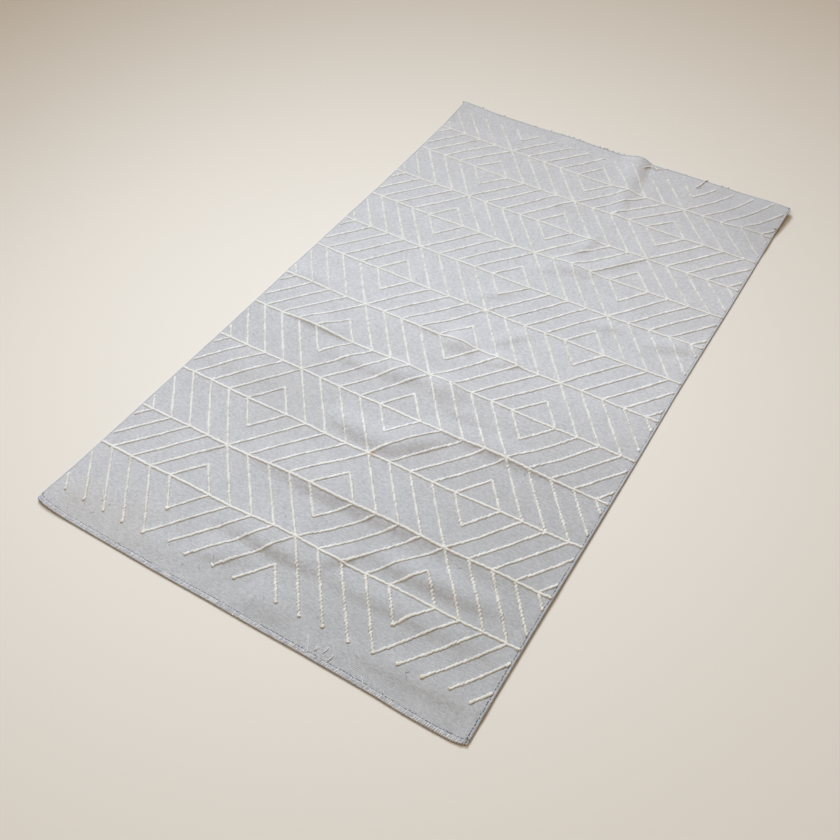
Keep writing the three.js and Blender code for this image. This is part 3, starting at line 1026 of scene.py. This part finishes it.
@dataclass
class WovenGround:
    """The cloth: one flat sheet that lies in low waves, pressed down along its seams."""

    step: float = 4.8
    reach: float = 1.6
    margin_start: float = 655.0
    seam_dip: float = 0.9
    seam_inset: float = 1.0
    seam_spread: float = 2.2
    binding_width: float = 9.0
    selvedge_width: float = 5.0
    selvedge_far_share: float = 0.55
    clearance: float = 0.02
    smooth_angle: float = 50.0
    finish: WeftFacedWool = GROUND_FINISH

    def seam(self, from_edge: np.ndarray, width: float | np.ndarray) -> np.ndarray:
        """How far the cloth is pressed down beside a seam."""
        away = (from_edge - width - self.seam_inset) / self.seam_spread
        return self.seam_dip * np.exp(-(away**2))

    def laid(self, flat: np.ndarray) -> np.ndarray:
        """Where the points of a flat grid lie on the rug.

        Args:
            flat: one row for each point, from -1 to 1 across and along.

        Returns:
            One row of three coordinates in millimetres for each point.
        """
        y = flat[:, 1] * (HALF_LENGTH - self.reach)
        left = self.reach - HALF_WIDTH + FORM.draw_in(y) - FORM.outward(Edge.LEFT, y)
        right = HALF_WIDTH - self.reach + FORM.outward(Edge.RIGHT, y)
        x = left + (right - left) * (flat[:, 0] + 1) / 2
        near, far = FORM.outward(Edge.NEAR, x), FORM.outward(Edge.FAR, x)
        margin = HALF_LENGTH - self.reach - self.margin_start
        in_near = np.clip((-y - self.margin_start) / margin, 0, 1)
        in_far = np.clip((y - self.margin_start) / margin, 0, 1)
        y = y - near * in_near + far * in_far
        far_share = (self.selvedge_far_share - 1) * (y / HALF_LENGTH + 1) / 2
        from_right = HALF_WIDTH + FORM.outward(Edge.RIGHT, y) - x
        dip = self.seam(HALF_LENGTH + near + y, self.binding_width)
        dip = dip + self.seam(from_right, self.selvedge_width * (1 + far_share))
        return np.stack([x, y, FORM.top(x, y) - np.minimum(dip, self.seam_dip)], axis=-1)

    def build(self) -> Object:
        """Builds the sheet from a flat grid, laid over the swells.

        Returns:
            The cloth, closed, with its thickness applied.
        """
        deselect_all()
        bpy.ops.mesh.primitive_grid_add(
            x_subdivisions=round(2 * HALF_WIDTH / self.step),
            y_subdivisions=round(2 * HALF_LENGTH / self.step),
            size=2.0,
        )
        cloth = bpy.context.active_object
        cloth.name = cloth.data.name = "woven_cloth"
        move_points(cloth.data, self.laid(points_of(cloth.data)) * MM)
        thick = cloth.modifiers.new("thickness", "SOLIDIFY")
        thick.thickness = (FORM.cloth_thickness - FORM.cockle) * MM
        thick.offset = -1.0
        thick.use_even_offset = False
        bpy.ops.object.modifier_apply(modifier=thick.name)
        lowest = (-math.inf, -math.inf, self.clearance * MM)
        move_points(cloth.data, np.maximum(points_of(cloth.data), lowest))
        bpy.ops.object.shade_smooth_by_angle(angle=math.radians(self.smooth_angle))
        cloth.data.materials.clear()
        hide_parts("woven_ground")
        return dressed(cloth, self.finish, "ground")


@dataclass
class LaidLines:
    """Twelve thick yarns laid across the rug from edge to edge."""

    half_width: float = 2.4
    half_height: float = 1.7
    over: float = 0.05
    step: float = 2.2
    sides: int = 10
    past_edge: float = 0.07
    finish: PliedYarn = LINE_FINISH

    def build(self) -> Object:
        """Builds the twelve hand-spun yarns as one piece.

        Returns:
            The laid yarn.
        """
        count = round(2 * HALF_WIDTH / self.step)
        end = HALF_UNITS + self.past_edge
        tubes = []
        for line in range(1, LAST_LINE):
            path = FORM.on_cloth(np.linspace(-end, end, count), np.full(count, float(line)), self.over)
            facing = FORM.facing(path)
            # It swells every few millimetres and wanders a little, each line in its own way.
            x = path[:, 0]
            share = 0.86 + 0.32 * np.abs(np.sin(x / 2.7 + line)) + 0.07 * np.sin(x / 4.9 + 2 * line)
            path[:, 1] += 0.4 * np.sin(x / 2.2 + 3 * line) + 0.25 * np.sin(x / 5.7 + line)
            height = self.half_height * share * FORM.pressed(path[:, 1])
            tubes.append(Tube(path, facing, self.half_width * share, height))
        return dressed(swept("laid_pattern_lines", tubes, self.sides), self.finish, "ground")


@dataclass
class SlantingCords:
    """Cords of wrapped stitches that run between the lines, all of one lean.

    Wrapping to the right gives long thin stitches, like a rope. Wrapping to the left
    gives shorter and closer ones, tilted the other way. The uneven sizes are shares of
    a stitch's length, width and height, and from the middle of the rug to its far end
    the width goes to its far share.
    """

    lean: Lean
    pitch: float
    half_length: float
    half_width: float
    half_height: float
    tilt: float
    far_width: float
    over: float = 0.35
    cord_end: float = 12.86
    right_cord_end: float = 12.98
    route_points: int = 41
    uneven_pitch: float = 0.09
    uneven_tilt: float = 5.0
    stray: float = 0.5
    look_ahead: float = 3.0
    uneven_sizes: tuple[tuple[float, float], ...] = ((0.88, 1.12), (0.82, 1.18), (0.85, 1.15))
    widening: tuple[float, float] = (-100.0, 700.0)
    finish: PliedYarn = CORD_FINISH

    def leans(self, band: int, start: int) -> bool:
        """True where the cords of this block and band have this lean."""
        to_right = abs(start // BLOCK_UNITS + band) % 2 == 1
        return to_right == (self.lean is Lean.RIGHT)

    def route(self, band: int, start: int, cord: int) -> tuple[np.ndarray, np.ndarray]:
        """The route of one cord inside its block, and inside the rug.

        Args:
            band: the number of its band, from the near end.
            start: the first unit of its block.
            cord: its number in the block.

        Returns:
            The units across and lines along of close points on it.
        """
        part = np.linspace(0, 1, self.route_points)
        in_block = cord + 2 * part
        u = start + in_block if self.lean is Lean.RIGHT else start + BLOCK_UNITS - in_block
        v = band + part
        kept = (
            (in_block >= 0)
            & (in_block <= BLOCK_UNITS)
            & (v <= np.where(u > BLOCK_UNITS, self.right_cord_end, self.cord_end))
            & (np.abs(u) <= HALF_UNITS)
        )
        if band == 0 and cord >= 0:
            kept &= part >= LATE_STARTS.get(round(float(u[0])), 0.0)
        return u[kept], v[kept]

    def routes(self) -> Iterator[tuple[np.ndarray, np.ndarray]]:
        """The routes of all cords of this lean, in units and lines.

        Yields:
            The units across and lines along of close points on one cord.
        """
        for band in range(LAST_LINE):
            for start in (-2 * BLOCK_UNITS, -BLOCK_UNITS, 0, BLOCK_UNITS):
                for cord in range(-1, BLOCK_UNITS):
                    u, v = self.route(band, start, cord)
                    if self.leans(band, start) and len(u) > 2:
                        yield u, v

    def model(self) -> Object:
        """Models one stitch: a short soft capsule along X, whose ends turn down.

        Returns:
            The stitch, which is copied along the cords.
        """
        cap = 1.6 * self.half_height
        droop = -0.25 * self.half_height * MM
        middle = 0.1 * MM
        stitch = capsule(8, 5, (cap, self.half_width, self.half_height))
        straight = (self.half_length - cap) * MM
        with edit_mode():
            select_points(lambda co: co.x > middle)
            bpy.ops.transform.translate(value=(straight, 0.0, droop))
            select_points(lambda co: co.x < -middle)
            bpy.ops.transform.translate(value=(-straight, 0.0, droop))
        return stitch

    def stitches(self, rng: np.random.Generator, path: np.ndarray) -> StitchRun:
        """Where the stitches of one cord lie.

        Args:
            rng: gives the unevenness of hand work.
            path: points on the cloth along the cord.

        Returns:
            The places, ways and sizes of the stitches.
        """
        steps = steps_along(path)
        count = max(2, round(steps[-1] / self.pitch))
        uneven = rng.uniform(-self.uneven_pitch, self.uneven_pitch, count)
        at = (np.arange(count) + 0.5 + uneven) * steps[-1] / count
        place = between(path, steps, at)
        front = between(path, steps, np.minimum(at + self.look_ahead, steps[-1]))
        back = between(path, steps, np.maximum(at - self.look_ahead, 0))
        facing = FORM.facing(place)
        forward = unit_rows(front - back)
        sideways = unit_rows(np.cross(facing, forward))
        angle = np.radians(self.tilt + rng.uniform(-self.uneven_tilt, self.uneven_tilt, count))[:, None]
        along = forward * np.cos(angle) + sideways * np.sin(angle)
        flat = FORM.pressed(place[:, 1])
        place = place + sideways * rng.uniform(-self.stray, self.stray, (count, 1))
        place = place + facing * (self.over * flat)[:, None]
        widths = np.interp(place[:, 1], self.widening, (1, self.far_width))
        sizes = varied(rng, self.uneven_sizes, count)
        sizes = sizes * np.stack([np.ones(count), widths, flat], axis=-1)
        return StitchRun(place, along, facing, sizes)

    def build(self) -> Object:
        """Copies the stitch along every cord of this lean.

        Returns:
            The stitches as one piece.
        """
        rng = np.random.default_rng(SEED + len(self.lean.value))
        runs = [self.stitches(rng, FORM.on_cloth(u, v)) for u, v in self.routes()]
        run = StitchRun(*(np.concatenate(rows) for rows in zip(*runs)))
        cords = copied(f"cords_leaning_{self.lean.value}", self.model(), run)
        return dressed(cords, self.finish, "ground")


@dataclass
class YarnKnots:
    """Small knots where the near cords start, and at the tips of the near diamonds."""

    radius: float = 2.5
    over: float = 0.6
    stray: float = 1.4
    tips: tuple[tuple[float, float, float], ...] = ((-5, 0.5, 1.2), (5, 0.5, 1.2), (0, 1.5, 0.8))
    finish: PliedYarn = KNOT_FINISH

    def spots(self) -> list[tuple[float, float, float]]:
        """Where the knots are.

        Returns:
            The units across, lines along, and size of each knot.
        """
        starts = []
        for u in (*range(-9, 0), *range(1, 10)):
            late = LATE_STARTS.get(u, 0.0)
            to_right = -BLOCK_UNITS <= u < 0 or u >= BLOCK_UNITS
            starts.append((u + 2 * late * (1 if to_right else -1), late, 0.78 + 0.09 * (u % 4)))
        return starts + list(self.tips)

    def model(self) -> Object:
        """Models one knot: a low lump with a waist.

        Returns:
            The knot, which is copied to each spot.
        """
        half_waist = 0.8 * MM
        deselect_all()
        bpy.ops.mesh.primitive_ico_sphere_add(subdivisions=2, radius=self.radius * MM)
        with edit_mode():
            bpy.ops.transform.resize(value=(1.35, 1.0, 0.72))
            select_points(lambda co: abs(co.x) < half_waist)
            bpy.ops.transform.resize(value=(1.0, 0.82, 0.86))
        return bpy.context.active_object

    def build(self) -> Object:
        """Copies the knot, two turned lumps to each spot.

        Returns:
            The knots as one piece.
        """
        rng = np.random.default_rng(SEED)
        u, v, size = np.repeat(np.array(self.spots(), float), 2, axis=0).T
        count = len(u)
        place = FORM.on_cloth(u, v, self.over)
        place[:, :2] += rng.uniform(-self.stray, self.stray, (count, 2))
        angle = rng.uniform(0, math.pi, count)
        along = np.stack([np.cos(angle), np.sin(angle), np.zeros(count)], axis=-1)
        sizes = size[:, None] * rng.uniform(0.85, 1.15, (count, 3))
        knots = copied("yarn_knots", self.model(), StitchRun(place, along, UP, sizes))
        return dressed(knots, self.finish, "ground")


class Thread(NamedTuple):
    """A loose thread: the places that it passes, its thickness, and its tone."""

    route: tuple[tuple[float, float], ...]
    thickness: float
    dark: bool = False


THREADS = (
    Thread(((77, 672), (80, 682), (86, 691), (93, 694), (99, 691), (101, 685)), 2.2),
    Thread(((86, 690), (95, 688), (104, 691), (108, 696)), 1.6),
    Thread(((200, 672), (205, 684), (208, 702)), 2.6),
    Thread(((198, 677), (206, 675), (210, 679)), 1.4),
    Thread(((119, -675), (123, -681), (127, -686), (134, -699)), 1.1),
    Thread(((140, -685), (144, -687), (141, -691)), 1.4),
    Thread(((156, -676), (157, -681), (155, -687)), 1.2),
    Thread(((169, -683), (170, -688), (167, -695)), 1.2),
    Thread(((222, -690), (229, -696), (232, -702)), 1.0),
    Thread(((209, 704), (213, 710)), 1.8, dark=True),
)


@dataclass
class LooseThreads:
    """Ends of yarn that lie loose on the cloth, or stick out at the far cut end."""

    dark: bool
    finish: PliedYarn
    far_ends: tuple[int, ...] = (
        -348, -290, -206, -168, -140, -134, -122, -110, -96, -84, -70, -58, -42, -34, -28, -12,
        2, 14, 121, 164, 246, 262,
    )
    near_ends: int = 16
    near_reach: float = 7.0
    near_corners: tuple[tuple[float, float], ...] = ((-370, -676), (370, -636))
    fuzz: int = 26
    fuzz_from_to: tuple[float, float] = (100, 205)
    step: float = 1.5
    over: float = 0.4
    sides: int = 6

    def short_ends(self, rng: np.random.Generator) -> Iterator[tuple[Sequence[np.ndarray], float]]:
        """Pale fibres on the near binding, or dark weft ends at the far end and in the near margin.

        Args:
            rng: gives their places and ways.

        Yields:
            Three places on each one, and half its thickness.
        """
        if not self.dark:
            for along in rng.uniform(*self.fuzz_from_to, self.fuzz):
                start = FORM.edge_point(Edge.NEAR, along, rng.uniform(1.5, 9.0))
                way = np.array([rng.uniform(-2.5, 2.5), rng.uniform(1.0, 4.0)])
                middle = start + 0.5 * way + rng.uniform(-0.5, 0.5, 2)
                yield (start, middle, start + way), rng.uniform(0.3, 0.5)
            return
        for x in self.far_ends:
            turn = rng.uniform(0.2, math.pi - 0.2)
            way = np.array([math.cos(turn), 0.5 * math.sin(turn)]) * rng.uniform(2.5, 4.5)
            start = FORM.edge_point(Edge.FAR, x, rng.uniform(1.0, 4.0))
            yield (start, start + 0.6 * way, start + way), rng.uniform(0.6, 1.1)
        for _ in range(self.near_ends):
            start = rng.uniform(*self.near_corners)
            way = rng.uniform(-1, 1, 2) * self.near_reach
            middle = start + 0.5 * way + rng.uniform(-1, 1, 2)
            yield (start, middle, start + way), rng.uniform(0.2, 0.3)

    def build(self) -> Object:
        """Sweeps every thread of this tone.

        Returns:
            The threads as one piece.
        """
        rng = np.random.default_rng(SEED)
        rows = [(row.route, row.thickness / 2) for row in THREADS if row.dark is self.dark]
        rows += self.short_ends(rng)
        tubes = []
        for places, half in rows:
            route = np.array(places, float)
            steps = steps_along(route)
            count = max(5, round(steps[-1] / self.step))
            smooth = between(route, steps, np.linspace(0, steps[-1], count))
            smooth[1:-1] = (smooth[:-2] + 2 * smooth[1:-1] + smooth[2:]) / 4
            height = FORM.top(smooth[:, 0], smooth[:, 1]) + 0.7 * half + self.over
            path, width = np.c_[smooth, height], np.full(count, half)
            tubes.append(Tube(path, FORM.facing(path), width, width))
        name = "dark_loose_threads" if self.dark else "pale_loose_threads"
        return dressed(swept(name, tubes, self.sides), self.finish, "ground")


@dataclass
class BoundEdge:
    """One bound edge: a rolled core, the overcast yarn round it, and a seam line.

    The section is the core's outline, in shares of the width inward and the height up.
    """

    edge: Edge
    node: str
    slot: str
    half_run: float
    width: float
    height: float
    yarn: float
    pitch: float
    slant: float = 1.6
    seam_pitch: float = 5.6
    seam_inset: float = 1.0
    seam_sink: float = 0.45
    has_seam: bool = True
    far_share: float = 1.0
    core_step: float = 3.0
    section: tuple[tuple[float, float], ...] = (
        (0.08, 0.04), (0.96, 0.04), (1.0, 0.34), (0.95, 0.66), (0.76, 0.84), (0.46, 0.86),
        (0.20, 0.62), (0.04, 0.30),
    )
    uneven_sizes: tuple[tuple[float, float], ...] = ((0.8, 1.2), (0.92, 1.06), (0.84, 1.08))
    finish: PliedYarn = BINDING_FINISH
    core_finish: PliedYarn = BINDING_CORE_FINISH
    seam_finish: PliedYarn = SEAM_FINISH

    def share(self, along: np.ndarray) -> np.ndarray:
        """How much of its full width the edge has at a place along it."""
        return 1 + (self.far_share - 1) * (along / self.half_run + 1) / 2

    def spaced(self, rng: np.random.Generator, half: float, pitch: float, stray: float) -> np.ndarray:
        """Places of stitches along the edge, a little uneven.

        Args:
            rng: gives the unevenness.
            half: half the run that they fill.
            pitch: how far apart they are over the edge's whole run.
            stray: how far a stitch may stand from its even place.

        Returns:
            The places, from the edge's middle.
        """
        count = round(2 * self.half_run / pitch)
        along = (np.arange(count) + 0.5) * 2 * half / count - half
        return along + rng.uniform(-stray, stray, count)

    def core(self) -> Object:
        """Builds the rolled core along the whole edge.

        Returns:
            The core, which stands for the node.
        """
        along = np.linspace(-self.half_run, self.half_run, round(self.half_run / self.core_step))
        rings = []
        for inward, up in self.section:
            place = FORM.edge_point(self.edge, along, inward * self.width * self.share(along))
            rings.append(np.c_[place, FORM.lift(place[:, 0], place[:, 1]) + up * self.height])
        points = np.stack(rings, axis=1).reshape(-1, 3)
        count, sides = len(along), len(self.section)
        ends = [tuple(range(sides)), tuple(reversed(range((count - 1) * sides, count * sides)))]
        uvs = np.stack([np.repeat(along, sides), np.tile(np.arange(sides) / sides, count)], axis=-1)
        name = f"rolled_edge_{self.edge.value}"
        core = piece_from(name, points, band_faces(count, sides) + ends, uvs)
        deselect_all()
        core.select_set(True)
        bpy.context.view_layer.objects.active = core
        with edit_mode():
            bpy.ops.mesh.normals_make_consistent(inside=False)
        return core

    def model(self) -> Object:
        """Models one overcast stitch: yarn that goes over the edge and back under it.

        Returns:
            The stitch. X runs along the edge, Y inwards and Z up.
        """
        radius, width = self.yarn, self.width
        inset = 0.6
        start_height = 0.52 * self.height
        rise = self.height - radius - start_height
        crown, shoulder, tail = 0.42 * width, 0.28 * width, 0.4 * width
        turn = (self.height - 2 * radius) / 2
        nose = 0.6 * turn
        outer = nose + radius
        deselect_all()
        bpy.ops.mesh.primitive_circle_add(
            vertices=6,
            radius=radius * MM,
            location=(0.0, (width - inset) * MM, start_height * MM),
            rotation=(math.pi / 2, 0.0, 0.0),
        )
        bpy.ops.object.transform_apply(location=True, rotation=True, scale=True)
        with edit_mode():
            extrude(-shoulder, 0.8 * rise)
            extrude(crown - width + shoulder + inset, 0.2 * rise)
            extrude(outer - crown, -2 * (turn - nose))
            centre = (0.0, outer * MM, outer * MM)
            bpy.ops.mesh.spin(steps=4, angle=math.pi, center=centre, axis=(1.0, 0.0, 0.0))
            extrude(tail, 0.0)
            bpy.ops.mesh.select_all(action="DESELECT")
            bpy.ops.mesh.select_non_manifold()
            bpy.ops.mesh.fill_holes(sides=0)
            bpy.ops.mesh.select_all(action="SELECT")
            bpy.ops.mesh.remove_doubles(threshold=0.01 * MM)
            bpy.ops.mesh.normals_make_consistent(inside=False)
        return bpy.context.active_object

    def overcast(self) -> Object:
        """Copies the overcast stitch along the edge.

        Returns:
            The stitches as one piece.
        """
        end_gap, stray, clearance = 2.0, 0.3, 0.05
        rng = np.random.default_rng(SEED + len(self.node))
        along = self.spaced(rng, self.half_run - end_gap, self.pitch, stray)
        share, level = self.share(along), np.zeros(len(along))
        outer = FORM.edge_point(self.edge, along, level)
        inner = FORM.edge_point(self.edge, along + self.slant, self.width * share)
        middle = (outer + inner) / 2
        lift = FORM.lift(middle[:, 0], middle[:, 1])
        way = np.cross(np.c_[inner - outer, level], UP)
        sizes = varied(rng, self.uneven_sizes, len(along))
        sizes[:, 1] *= share
        run = StitchRun(np.c_[outer, lift + clearance], way, UP, sizes)
        return copied(f"overcast_{self.edge.value}", self.model(), run)

    def seam(self) -> Object:
        """Models a dash of sewing thread and copies it along the seam.

        Returns:
            The dashes as one piece.
        """
        half_dash = (2.6, 0.85, 0.75)
        stray, inward_stray, turn, smallest, largest = 0.8, 0.7, 0.15, 0.55, 1.3
        dash = capsule(6, 4, half_dash)
        rng = np.random.default_rng(SEED + 3 * len(self.node))
        along = self.spaced(rng, self.half_run, self.seam_pitch, stray)
        count, share = len(along), self.share(along)
        inward = self.width * share + self.seam_inset + rng.uniform(-inward_stray, inward_stray, count)
        place = FORM.edge_point(self.edge, along, inward)
        ahead = FORM.edge_point(self.edge, along + 1, inward + rng.uniform(-turn, turn, count))
        height = FORM.lift(place[:, 0], place[:, 1]) + FORM.cloth_thickness - self.seam_sink
        sizes = rng.uniform(smallest, largest, (count, 3)) * share[:, None]
        way = np.c_[ahead - place, np.zeros(count)]
        return copied(f"seam_{self.edge.value}", dash, StitchRun(np.c_[place, height], way, UP, sizes))

    def build(self) -> list[Object]:
        """Builds and dresses the pieces of this edge.

        Returns:
            The core, the overcast stitches, and the seam line if there is one.
        """
        core = dressed(self.core(), self.core_finish, self.slot)
        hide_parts(self.node)
        pieces = [core, dressed(self.overcast(), self.finish, self.slot)]
        if self.has_seam:
            pieces.append(dressed(self.seam(), self.seam_finish, self.slot))
        return pieces


# The studio


@dataclass(frozen=True)
class Studio:
    """A plain pale floor, soft light and the viewpoint, with its places in metres."""

    floor_half: float = 6.0
    floor_drop: float = 0.0002
    finish: PaintedFloor = PaintedFloor()
    surround: str = "#ffdcab"
    surround_strength: float = 0.335
    daylight: str = "#e2f0ff"
    window: tuple[float, float, float] = (-3.80, 4.53, 4.62)
    window_aim: tuple[float, float, float] = (2.58, -2.36, 0.0)
    window_power: float = 2300.0
    window_angle: float = 51.3
    window_radius: float = 1.1
    overhead: tuple[float, float, float] = (-0.33, -0.19, 1.4)
    overhead_power: float = 11.4
    overhead_size: float = 1.2
    lens: float = 44.38
    sensor: float = 36.0
    clip: tuple[float, float] = (0.05, 50.0)
    eye: tuple[float, float, float] = (0.65012, -1.25935, 1.35278)
    right: tuple[float, float, float] = (0.85467, 0.51907, 0.01024)
    up: tuple[float, float, float] = (-0.39385, 0.63540, 0.66419)

    def floor(self) -> Object:
        """Builds the floor just under the rug.

        Returns:
            The floor, which isn't part of the rug.
        """
        deselect_all()
        under = (0.0, 0.0, -self.floor_drop)
        bpy.ops.mesh.primitive_plane_add(size=2 * self.floor_half, location=under)
        floor = bpy.context.active_object
        floor.name = "studio_floor"
        bpy.ops.object.transform_apply(location=True, rotation=True, scale=True)
        floor.data.materials.append(self.finish.material())
        return floor

    def light(
        self, name: str, kind: str, place: tuple[float, float, float], power: float
    ) -> Object:
        """Adds one light with the colour of daylight.

        Args:
            name: what it is called.
            kind: the type of light.
            place: where it stands.
            power: its power in watts.

        Returns:
            The light.
        """
        deselect_all()
        bpy.ops.object.light_add(type=kind, location=place)
        light = bpy.context.active_object
        light.name = name
        light.data.energy = power
        light.data.color = linear(self.daylight)[:3]
        return light

    def lights(self) -> None:
        """Sets a pale surround, soft window light and a soft light overhead."""
        world = bpy.data.worlds.new("studio_surround")
        bpy.context.scene.world = world
        world.use_nodes = True
        backdrop = world.node_tree.nodes["Background"]
        backdrop.inputs["Color"].default_value = linear(self.surround)
        backdrop.inputs["Strength"].default_value = self.surround_strength
        window = self.light("window_light", "SPOT", self.window, self.window_power)
        window.data.spot_size = math.radians(self.window_angle)
        window.data.spot_blend = 1.0
        window.data.shadow_soft_size = self.window_radius
        way = Vector(self.window_aim) - Vector(self.window)
        window.rotation_euler = way.to_track_quat("-Z", "Y").to_euler()
        lamp = self.light("overhead_light", "AREA", self.overhead, self.overhead_power)
        lamp.data.shape = "DISK"
        lamp.data.size = self.overhead_size
        lamp.visible_camera = False

    def camera(self) -> None:
        """Sets the viewpoint of a hand-held camera above the near right corner."""
        deselect_all()
        bpy.ops.object.camera_add()
        camera = bpy.context.active_object
        camera.name = "viewpoint"
        right, up = Vector(self.right), Vector(self.up)
        turn = Matrix((right, up, right.cross(up))).transposed().to_4x4()
        camera.matrix_world = Matrix.Translation(self.eye) @ turn
        camera.data.sensor_width = self.sensor
        camera.data.lens = self.lens
        camera.data.clip_start, camera.data.clip_end = self.clip
        bpy.context.scene.camera = camera

    def build(self) -> Object:
        """Builds the studio.

        Returns:
            The floor.
        """
        bpy.context.scene.view_settings.view_transform = "Standard"
        self.lights()
        self.camera()
        return self.floor()


TURNED_EDGE = {
    "yarn": 0.9,
    "pitch": 3.6,
    "has_seam": False,
    "finish": PALE_EDGE_FINISH,
    "core_finish": PALE_EDGE_FINISH,
}


@dataclass
class KilimRug:
    """The whole rug, made of its cloth, pattern yarn and bound edges."""

    ground: WovenGround = field(default_factory=WovenGround)
    lines: LaidLines = field(default_factory=LaidLines)
    knots: YarnKnots = field(default_factory=YarnKnots)
    cords: tuple[SlantingCords, ...] = (
        SlantingCords(
            Lean.RIGHT, pitch=7.4, half_length=5.2, half_width=2.7, half_height=1.7,
            tilt=15.0, far_width=1.08,
        ),
        SlantingCords(
            Lean.LEFT, pitch=6.4, half_length=4.6, half_width=2.65, half_height=1.7,
            tilt=-20.0, far_width=0.84,
        ),
    )
    threads: tuple[LooseThreads, ...] = (
        LooseThreads(dark=False, finish=THREAD_FINISH),
        LooseThreads(dark=True, finish=DARK_THREAD_FINISH),
    )
    edges: tuple[BoundEdge, ...] = (
        BoundEdge(
            Edge.NEAR, "binding_near", "end_binding", half_run=400.0, width=9.0, height=3.4,
            yarn=1.1, pitch=3.6, slant=2.6,
        ),
        BoundEdge(
            Edge.FAR, "binding_far", "end_binding", half_run=400.0, width=7.0, height=3.5,
            **TURNED_EDGE,
        ),
        BoundEdge(
            Edge.LEFT, "selvedge_left", "selvedge", half_run=690.0, width=4.6, height=3.4,
            **TURNED_EDGE,
        ),
        BoundEdge(
            Edge.RIGHT, "selvedge_right", "selvedge", half_run=694.0, width=4.6, height=3.3,
            yarn=0.9, pitch=3.2, slant=1.0, far_share=0.55, finish=SELVEDGE_FINISH,
        ),
    )

    def build(self, floor: Object) -> list[Object]:
        """Args:
            floor: not used.

        Returns:
            All pieces of the rug.
        """
        cloth = self.ground.build()
        pieces = [self.lines.build(), self.knots.build()]
        pieces += [cord.build() for cord in self.cords]
        pieces += [thread.build() for thread in self.threads]
        for edge in self.edges:
            pieces += edge.build()
        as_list(pieces)
        return [cloth, *pieces]


def main() -> None:
    """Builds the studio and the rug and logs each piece."""
    logging.basicConfig(level=logging.INFO, format="%(name)s: %(message)s")
    floor = Studio().build()
    for piece in KilimRug().build(floor):
        triangles = sum(len(face.vertices) - 2 for face in piece.data.polygons)
        LOG.info("%s: %d triangles", piece.name, triangles)


if __name__ == "__main__":
    main()
